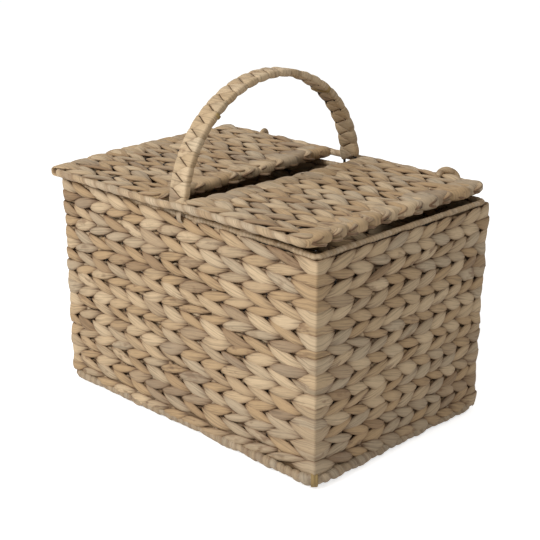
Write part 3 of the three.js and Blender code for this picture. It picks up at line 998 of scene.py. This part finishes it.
def roundedLoop(halfX, halfY, height, radius, step):
    stations = []
    for corner, course, face, full in fourSides(halfX, halfY, height):
        begin = corner + course * radius
        length = full - 2 * radius
        count = round(length / step)
        for i in range(count):
            stations.append({"at": begin + course * (length * i / count), "face": face, "course": course})
        centre = begin + course * length - face * radius
        bends = round(radius * math.pi / 2 / step)
        for i in range(bends):
            angle = math.pi / 2 * i / bends
            turned = face * math.cos(angle) + course * math.sin(angle)
            stations.append({"at": centre + turned * radius, "face": turned, "course": up.cross(turned)})
    return stations


rimLoop = roundedLoop(wall["halfX"], wall["halfY"], boxMiddle("rim_wrap_front", 2), wrap["cornerRadius"] / 2,
                      wrap["step"])
for station in rimLoop:
    station["at"] = settle(station["at"], wall["leftRise"] / 2)
footLoop = roundedLoop(wall["halfX"], wall["halfY"], wrap["footHeight"], wrap["footCorner"], wrap["step"])
footLine = []
for station in footLoop:
    bare = cornerShare(station["at"])
    belly = bare * max(station["face"].x, 0.0) * wrap["footBelly"].x
    belly += bare * max(-station["face"].y, 0.0) * wrap["footBelly"].y
    footLine.append({**station, "at": station["at"] + station["face"] * wrap["footOut"]})
    station["wide"] = 1 + wrap["footSwell"] * bare
    station["at"] += station["face"] * (wrap["footOut"] + belly)
    station["at"].z *= station["wide"]
for label, node, stations, finish in (("rim", "rim_wrap", rimLoop, stripFinish),
                                      ("foot", "bottom_wrap", footLoop, footFinish)):
    nodes = [f"{node}_{side}" for side in ("front", "right", "back", "left")]
    path = Path().strand(stations, True)
    bake(f"{label}Wrap", path, wound, wrap[label], finish, "basket", nodes, seed=5)

# dark bands inside the top and the foot of the weave: painted shade that shows through the gaps between the
# leaves
for label, strip, lift in (("rimBand", rimLoop, -wrap["bandLift"]), ("footBand", footLine, wrap["bandLift"])):
    stations = []
    for station in strip:
        spot = station["at"] + up * lift - station["face"] * wrap["bandInset"]
        stations.append({**station, "at": spot})
    bake(label, Path().strand(stations, True), ribbon, wrap["band"], shadedCoreFinish, "basket", seed=6)


# along one long run of the lid's rod and a little way round the corner at either end
def lidRun(y, inward):
    radius = wrap["cornerRadius"]
    steps = wrap["cornerSteps"]
    left = lid["left"] + wrap["lidRodInset"]
    right = lid["right"] - wrap["lidRodInset"]
    points = []
    for x, sign in ((left, -1), (right, 1)):
        turned = []
        for i in range(steps + 1):
            angle = math.pi / 2 * i / steps
            turned.append(Vector((x - sign * radius * (1 - math.sin(angle)),
                                  y + inward * radius * (1 - math.cos(angle)), 0)))
        turned.append(Vector((x, y + inward * (radius + wrap["cornerTail"]), 0)))
        points += turned if sign > 0 else reversed(turned)
        if sign < 0:
            points += [Vector((left + (right - left) * i / wrap["runSteps"], y, 0))
                       for i in range(2, wrap["runSteps"] - 1)]
    stations = []
    for point, nextPoint in zip(points, points[1:]):
        begin = toLid(point)
        travel = toLid(nextPoint) - begin
        count = max(1, round(travel.length / wrap["step"]))
        stations += [{"at": begin + travel * (i / count), "face": lidUp, "course": travel.normalized()}
                     for i in range(count)]
    return stations


for side, y, inward in (("front", -lid["front"], 1), ("back", 0.0, -1)):
    path = Path().strand(lidRun(y, inward), False)
    bake(f"lidWrap{side.title()}", path, wound, wrap["lid"], stripFinish, "lid",
         (f"lid_wrap_{side}",), seed=7)
print("wires wrapped")

# handle: ribbons hooked over the two rails in turn, their points laid into one another down the middle
low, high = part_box("handle_wrap")
spring = Vector((handle["shift"], 0, low[2]))
reach = high[2] - spring.z - handle["thickness"] / 2
halfWide = handle["width"] / 2 - handle["ribbon"]["Full"]
halfThick = handle["thickness"] / 2 - handle["ribbon"]["Full"]
narrowest = 0.04


# the points of a U over an edge: in from the upper tip, round the edge, and back to the lower tip
def hookPoints(tip, edge, height, corner, dip, runs=8, bends=4):
    points = []
    for i in range(runs):
        share = i / runs
        points.append((tip + (edge - corner - tip) * share, height - dip * (1 - share) ** 3))
    for i in range(bends):
        angle = math.pi / 2 * i / bends
        points.append((edge - corner + corner * math.sin(angle), height - corner + corner * math.cos(angle)))
    return points + [(x, -h) for x, h in reversed(points)]


# the course at each point of an open line
def coursesOf(spots):
    pairs = zip([spots[0], *spots], [*spots[1:], spots[-1]])
    return [(after - before).normalized() for before, after in pairs]


# stations of a hooked ribbon: place maps sideways and upward distances to a point
def hookStations(points, place, tip, full):
    spots = [place(x, h) for x, h in points]
    middle = place(tip, 0.0)
    side = (spots[-1] - spots[0]).cross(spots[len(spots) // 2] - spots[0]).normalized()
    stations = []
    for spot, course, (x, h) in zip(spots, coursesOf(spots), points):
        face = course.cross(side).normalized()
        if face.dot(spot - middle) < 0:
            face = -face
        wide = min(max((x - tip) / full, narrowest), 1.0)
        stations.append({"at": spot, "face": face, "course": course, "wide": wide})
    return stations


# at the back the band stops short of the rim and leaves the rails bare; its bow leans a little to the back
def handleBow(travel):
    return reach * (1 - handle["shoulder"] * math.sin(2 * travel))


def handleOutward(travel):
    return up * math.sin(travel) - handleAlong * math.cos(travel)


path = Path()
for turn in range(handle["turns"] * 2 - handle["bareTurns"]):
    side = 1 if turn % 2 == 0 else -1
    travel = (turn + 0.5) / (handle["turns"] * 2) * math.pi + side * handle["slit"] / reach
    tip = -handle["point"] + math.sin(turn * handle["varyTurn"]) * handle["pointVary"]
    begin = tip + (handle["cut"] if side > 0 else 0.0)
    points = hookPoints(begin, halfWide, halfThick, handle["corner"], handle["dip"])
    place = lambda x, h: spring + handleAcross * (x * side) + handleOutward(travel) * (handleBow(travel) + h)
    puff = handle["puff"] if travel > handle["joint"] else 1.0
    stations = hookStations(points, place, tip, 2 * handle["point"])
    path.strand([{**station, "puff": puff} for station in stations], False, row=turn)
bake("handleRibbons", path, ribbon, handle["ribbon"], bandFinish, "basket", ("handle_wrap",),
     seed=3)
# a dark core under the ribbons: painted shade seen through the slits between them
stations = []
for i in range(handle["coreSteps"] - handle["coreShort"]):
    travel = math.pi * i / handle["coreSteps"]
    outward = handleOutward(travel)
    course = up * math.cos(travel) + handleAlong * math.sin(travel)
    stations.append({"at": spring + outward * handleBow(travel), "face": outward, "course": course})
path = Path().strand(stations, False)
bake("handleCore", path, ribbon, handle["core"], shadedCoreFinish, "basket", seed=4)
print("handle wound")

# lid folds: broad ribbons where the rows turn over the end rods and the slot rods
folds = {
    "count": {"end": 10, "slot": 9},
    "ribbon": {"Wide": 1.2, "Full": 1.3 * mm, "Bow": 1.6 * mm, "Lap": 1.3 * mm},
    "height": 5.4 * mm,
    "corner": 5.2 * mm,
    "dip": 2.6 * mm,
    "reach": 40 * mm,
    "fullShare": 0.8,
    "turns": {"shift": 5.1, "reach": 2.7, "proud": 4.1, "lean": 3.3},
    "shift": 1.5 * mm,
    "reachVary": 0.2,
    "lean": 0.16,
    "edgeStep": 20,
}
for side, edges in lidEdges.items():
    path = Path()
    for index, (edgeAt, sign) in enumerate(zip(edges, (-1, 1))):
        count = folds["count"]["end" if (side == "left") == (index == 0) else "slot"]
        width = wovenDepth / count
        for fold in range(count):
            number = fold + folds["edgeStep"] * index
            vary = {label: math.sin(number * turn) for label, turn in folds["turns"].items()}
            middle = wovenFront + (fold + 0.5) * width + vary["shift"] * folds["shift"]
            edge = edgeAt(middle)
            length = folds["reach"] * (1 + folds["reachVary"] * vary["reach"])
            proud = (1 + vary["proud"]) * mm
            points = hookPoints(-length, proud, folds["height"], folds["corner"], folds["dip"])
            lean = folds["lean"] * vary["lean"]
            place = lambda x, h: toLid(Vector((edge + sign * x, middle + x * lean, h)))
            stations = hookStations(points, place, -length, length * folds["fullShare"])
            path.strand([{**station, "half": width / 2} for station in stations], False, row=number)
    bake(f"lidFold{side.title()}", path, ribbon, folds["ribbon"], strandFinish, "lid", seed=31)
print("lid folds laid")

# the wires inside the lid follow its lifted weave
lidWire = {
    "short": 14 * mm,
    "steps": 20,
    "rodStep": 6 * mm,
    "rod": {"Radius": 2 * mm, "Pitch": 20 * mm, "Swell": 0.0, "Lumps": 0.0},
}


# as far from front to back as the node reaches, at the distance to the right that the function gives
def wireAlong(node, rightward, short=0.0):
    begin, end = [(corner[1] - hinge.y) / math.cos(lid["tilt"]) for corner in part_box(node)]
    end -= short
    depths = [begin + (end - begin) * i / lidWire["steps"] for i in range(lidWire["steps"] + 1)]
    spots = [toLid(Vector((rightward(y), y, 0))) for y in depths]
    return [{"at": spot, "face": lidUp, "course": course} for spot, course in zip(spots, coursesOf(spots))]


halfLong = (lid["right"] - lid["left"]) / 2 - wrap["lidRodInset"]
rodMiddle = Vector(((lid["left"] + lid["right"]) / 2, -lid["front"] / 2, 0))
outline = roundedLoop(halfLong, lid["front"] / 2, 0.0, wrap["cornerRadius"], lidWire["rodStep"])
stations = [{"at": toLid(rodMiddle + station["at"]), "face": lidUp, "course": lidTurn @ station["course"]}
            for station in outline]
path = Path().strand(stations, True)
bake("lidRodWire", path, wound, lidWire["rod"], wireFinish, "lid", ("lid_rod",), seed=8)
nodes = ("lid_slot_rod_left", "lid_slot_rod_right")
path = Path()
path.strand(wireAlong(nodes[0], lambda y: leftSlotEdge(y) - wrap["lidRodInset"]), False)
path.strand(wireAlong(nodes[1], lambda y: rightSlotEdge(y) + wrap["lidRodInset"]), False)
bake("lidSlotWires", path, wound, lidWire["rod"], wireFinish, "lid", nodes, seed=8)
for side in ("left", "right"):
    nodes = [f"lid_stake_{side}_{number}" for number in range(1, 5)]
    path = Path()
    for node in nodes:
        path.strand(wireAlong(node, lambda y: boxMiddle(node, 0), lidWire["short"]), False)
    low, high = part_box(node)
    shape = {**lidWire["rod"], "Radius": (high[0] - low[0]) / 2}
    bake(f"lidStakes{side.title()}", path, wound, shape, wireFinish, "lid", nodes, seed=8)
print("lid wires laid")

# hinge loops: a slack strand aslant round the back rim and the lid's back wire
loop = {
    "skew": {"left": -0.3, "right": 0.8},
    "low": 7.4 * mm,
    "high": {"left": 7.9 * mm, "right": 9.2 * mm},
    "radius": {"left": 3.0 * mm, "right": 4.2 * mm},
    "bends": 16,
    "strand": {"Pitch": 16 * mm, "Swell": 0.5 * mm, "Lumps": 0.4 * mm},
}
for side in ("left", "right"):
    x = boxMiddle(f"hinge_loop_{side}", 0)
    foot = Vector((x, wall["halfY"], boxMiddle("rim_wrap_back", 2)))
    pivot = Vector((x, hinge.y, hinge.z - x * math.tan(lid["roll"])))
    rise = (pivot - foot).normalized()
    out = rise.cross(Vector((1, 0, 0))) + Vector((loop["skew"][side], 0, 0))
    stations = []
    for centre, begin, size in ((pivot, 0.0, loop["high"][side]), (foot, math.pi, loop["low"])):
        for i in range(loop["bends"] + 1):
            angle = begin + math.pi * i / loop["bends"]
            spoke = out * math.cos(angle) + rise * math.sin(angle)
            ahead = (rise * math.cos(angle) - out * math.sin(angle)).normalized()
            away = (spoke - ahead * spoke.dot(ahead)).normalized()
            stations.append({"at": centre + spoke * size, "face": away, "course": ahead})
    shape = {**loop["strand"], "Radius": loop["radius"][side]}
    path = Path().strand(stations, True)
    bake(f"hingeTie{side.title()}", path, wound, shape, strandFinish, "basket",
         (f"hinge_loop_{side}",), seed=9)
print("hinge ties made")

# narrow ties: two round the handle and one at the corner of the base in ochre, a greyer one at the rim
tie = {
    "strip": {"Wide": 2.2 * mm, "Full": 0.5 * mm, "Bow": 0.2 * mm, "Lap": 0.0},
    "onHandle": (handle["joint"], math.radians(127)),
    "handleHalf": (14.0 * mm, 4.2 * mm),  # across the band and outward
    "handlePower": 0.35,
    "sink": 0.9 * mm,
    "rimPlace": 8 * mm,
    "rimHalf": 9 * mm,
    "footHalf": 7.4 * mm,
    "broad": 1.7,
    "sides": 28,
}


# a flat ring round a bar: two directions across the bar and how far it reaches in each
def ringStations(centre, across, outward, halfAcross, halfOut, power):
    spots = []
    for i in range(tie["sides"]):
        angle = 2 * math.pi * i / tie["sides"]
        x = math.copysign(abs(math.cos(angle)) ** power, math.cos(angle))
        h = math.copysign(abs(math.sin(angle)) ** power, math.sin(angle))
        spots.append(centre + across * (halfAcross * x) + outward * (halfOut * h))
    stations = []
    for i, spot in enumerate(spots):
        course = (spots[(i + 1) % len(spots)] - spots[i - 1]).normalized()
        stations.append({"at": spot, "face": course.cross(across.cross(outward)), "course": course})
    return stations


# a round broad ring at the point of a wound strip that is nearest to a spot
def broadRing(strip, spot, half):
    nearest = min(strip, key=lambda station: (station["at"] - spot).length)
    ring = ringStations(nearest["at"], nearest["face"], up, half, half, 1.0)
    return [{**station, "half": tie["broad"]} for station in ring]


path = Path()
for number, travel in enumerate(tie["onHandle"]):
    outward = handleOutward(travel)
    centre = spring + outward * (handleBow(travel) - tie["sink"])
    ring = ringStations(centre, handleAcross, outward, *tie["handleHalf"], tie["handlePower"])
    path.strand(ring, True, row=number)
footRing = broadRing(footLoop, Vector((wall["halfX"], -wall["halfY"], 0)), tie["footHalf"])
path.strand(footRing, True, row=3)
bake("ochreTies", path, ribbon, tie["strip"], ochreFinish, "basket", seed=12)
rimRing = broadRing(rimLoop, Vector((tie["rimPlace"], -wall["halfY"], wall["high"])), tie["rimHalf"])
path = Path().strand(rimRing, True, row=2)
bake("rimTie", path, ribbon, tie["strip"], footFinish, "basket", seed=12)
print("ties laid")

# bare wires
for name in frame["nodes"]:
    if any(word in name for word in ("rod", "stake", "post", "rail")):
        wireObject = bpy.data.objects[name]
        wireObject.data.materials.clear()
        wireObject.data.materials.append(wireFinish)
print("wires painted")

# camera at the photograph's place
view = {
    "azimuth": math.radians(45.08),
    "elevation": math.radians(17.96),
    "distance": 1.3966,
    "target": Vector((0.0012, 0.0039, 0.1566)),
    "lens": 78.33,
    "sensor": 36,
}
back = Vector((math.sin(view["azimuth"]) * math.cos(view["elevation"]),
               -math.cos(view["azimuth"]) * math.cos(view["elevation"]),
               math.sin(view["elevation"])))
cameraData = bpy.data.cameras.new("camera")
cameraData.lens = view["lens"]
cameraData.sensor_width = view["sensor"]
camera = bpy.data.objects.new("camera", cameraData)
camera.location = view["target"] + back * view["distance"]
camera.rotation_euler = (-back).to_track_quat("-Z", "Y").to_euler()
scene.collection.objects.link(camera)
scene.camera = camera

# light: a soft key in front of the long side, a weak one high at the right, a pale world and a white floor
light = {
    "key": (Vector((-0.32, -1.9, 1.65)), 44.0),  # place and power
    "fill": (Vector((1.3, -0.4, 2.2)), 6.0),
    "lampSize": 1.1,
    "aim": Vector((0, 0, 0.15)),
    "world": 0.33,
    "worldTone": (1, 0.985, 0.96, 1),
    "floorTone": (0.92, 0.92, 0.92, 1),
    "floorRough": 0.9,
    "floorGlow": 0.7,
    "floorSpan": 12.0,
    "floorPlace": -0.5 * mm,
}
for label in ("key", "fill"):
    lampPlace, lampPower = light[label]
    lampData = bpy.data.lights.new(label, "AREA")
    lampData.energy = lampPower
    lampData.size = light["lampSize"]
    lamp = bpy.data.objects.new(label, lampData)
    lamp.location = lampPlace
    lamp.rotation_euler = (light["aim"] - lamp.location).to_track_quat("-Z", "Y").to_euler()
    scene.collection.objects.link(lamp)


def seenDirectly(tree):
    rays = tree.nodes.new("ShaderNodeLightPath")
    seen = Field(tree, rays.outputs["Is Camera Ray"])
    seen = seen.math("MAXIMUM", Field(tree, rays.outputs["Is Glossy Ray"]))
    return seen.math("MAXIMUM", Field(tree, rays.outputs["Is Transmission Ray"]))


# the world is white where it is seen, and pale where it only gives light
world = bpy.data.worlds.new("studio")
world.use_nodes = True
scene.world = world
worldTree = world.node_tree
backdrop = worldTree.nodes["Background"]
backdrop.inputs["Color"].default_value = light["worldTone"]
backdrop.inputs["Strength"].default_value = light["world"]
white = worldTree.nodes.new("ShaderNodeBackground")
white.inputs["Color"].default_value = (1, 1, 1, 1)
mixed = worldTree.nodes.new("ShaderNodeMixShader")
plug(mixed.inputs[0], seenDirectly(worldTree))
worldTree.links.new(backdrop.outputs[0], mixed.inputs[1])
worldTree.links.new(white.outputs[0], mixed.inputs[2])
worldTree.links.new(mixed.outputs[0], worldTree.nodes["World Output"].inputs["Surface"])

floorMesh = bpy.data.meshes.new("floor")
floorCorners = [(x * light["floorSpan"], y * light["floorSpan"], 0) for x, y in cornerSigns]
floorMesh.from_pydata(floorCorners, [], [(0, 1, 2, 3)])
floor = bpy.data.objects.new("floor", floorMesh)
floor.location.z = light["floorPlace"]
scene.collection.objects.link(floor)
floorFinish, floorTree, floorShader = newMaterial("paleFloor", 0.0)
floorShader.inputs["Base Color"].default_value = light["floorTone"]
floorShader.inputs["Roughness"].default_value = light["floorRough"]
glow = floorTree.nodes.new("ShaderNodeEmission")
plug(glow.inputs["Strength"], seenDirectly(floorTree) * light["floorGlow"])
added = floorTree.nodes.new("ShaderNodeAddShader")
floorTree.links.new(floorShader.outputs[0], added.inputs[0])
floorTree.links.new(glow.outputs[0], added.inputs[1])
floorTree.links.new(added.outputs[0], floorTree.nodes["Material Output"].inputs["Surface"])
floorMesh.materials.append(floorFinish)
scene.view_settings.view_transform = "Standard"
print("stage set")
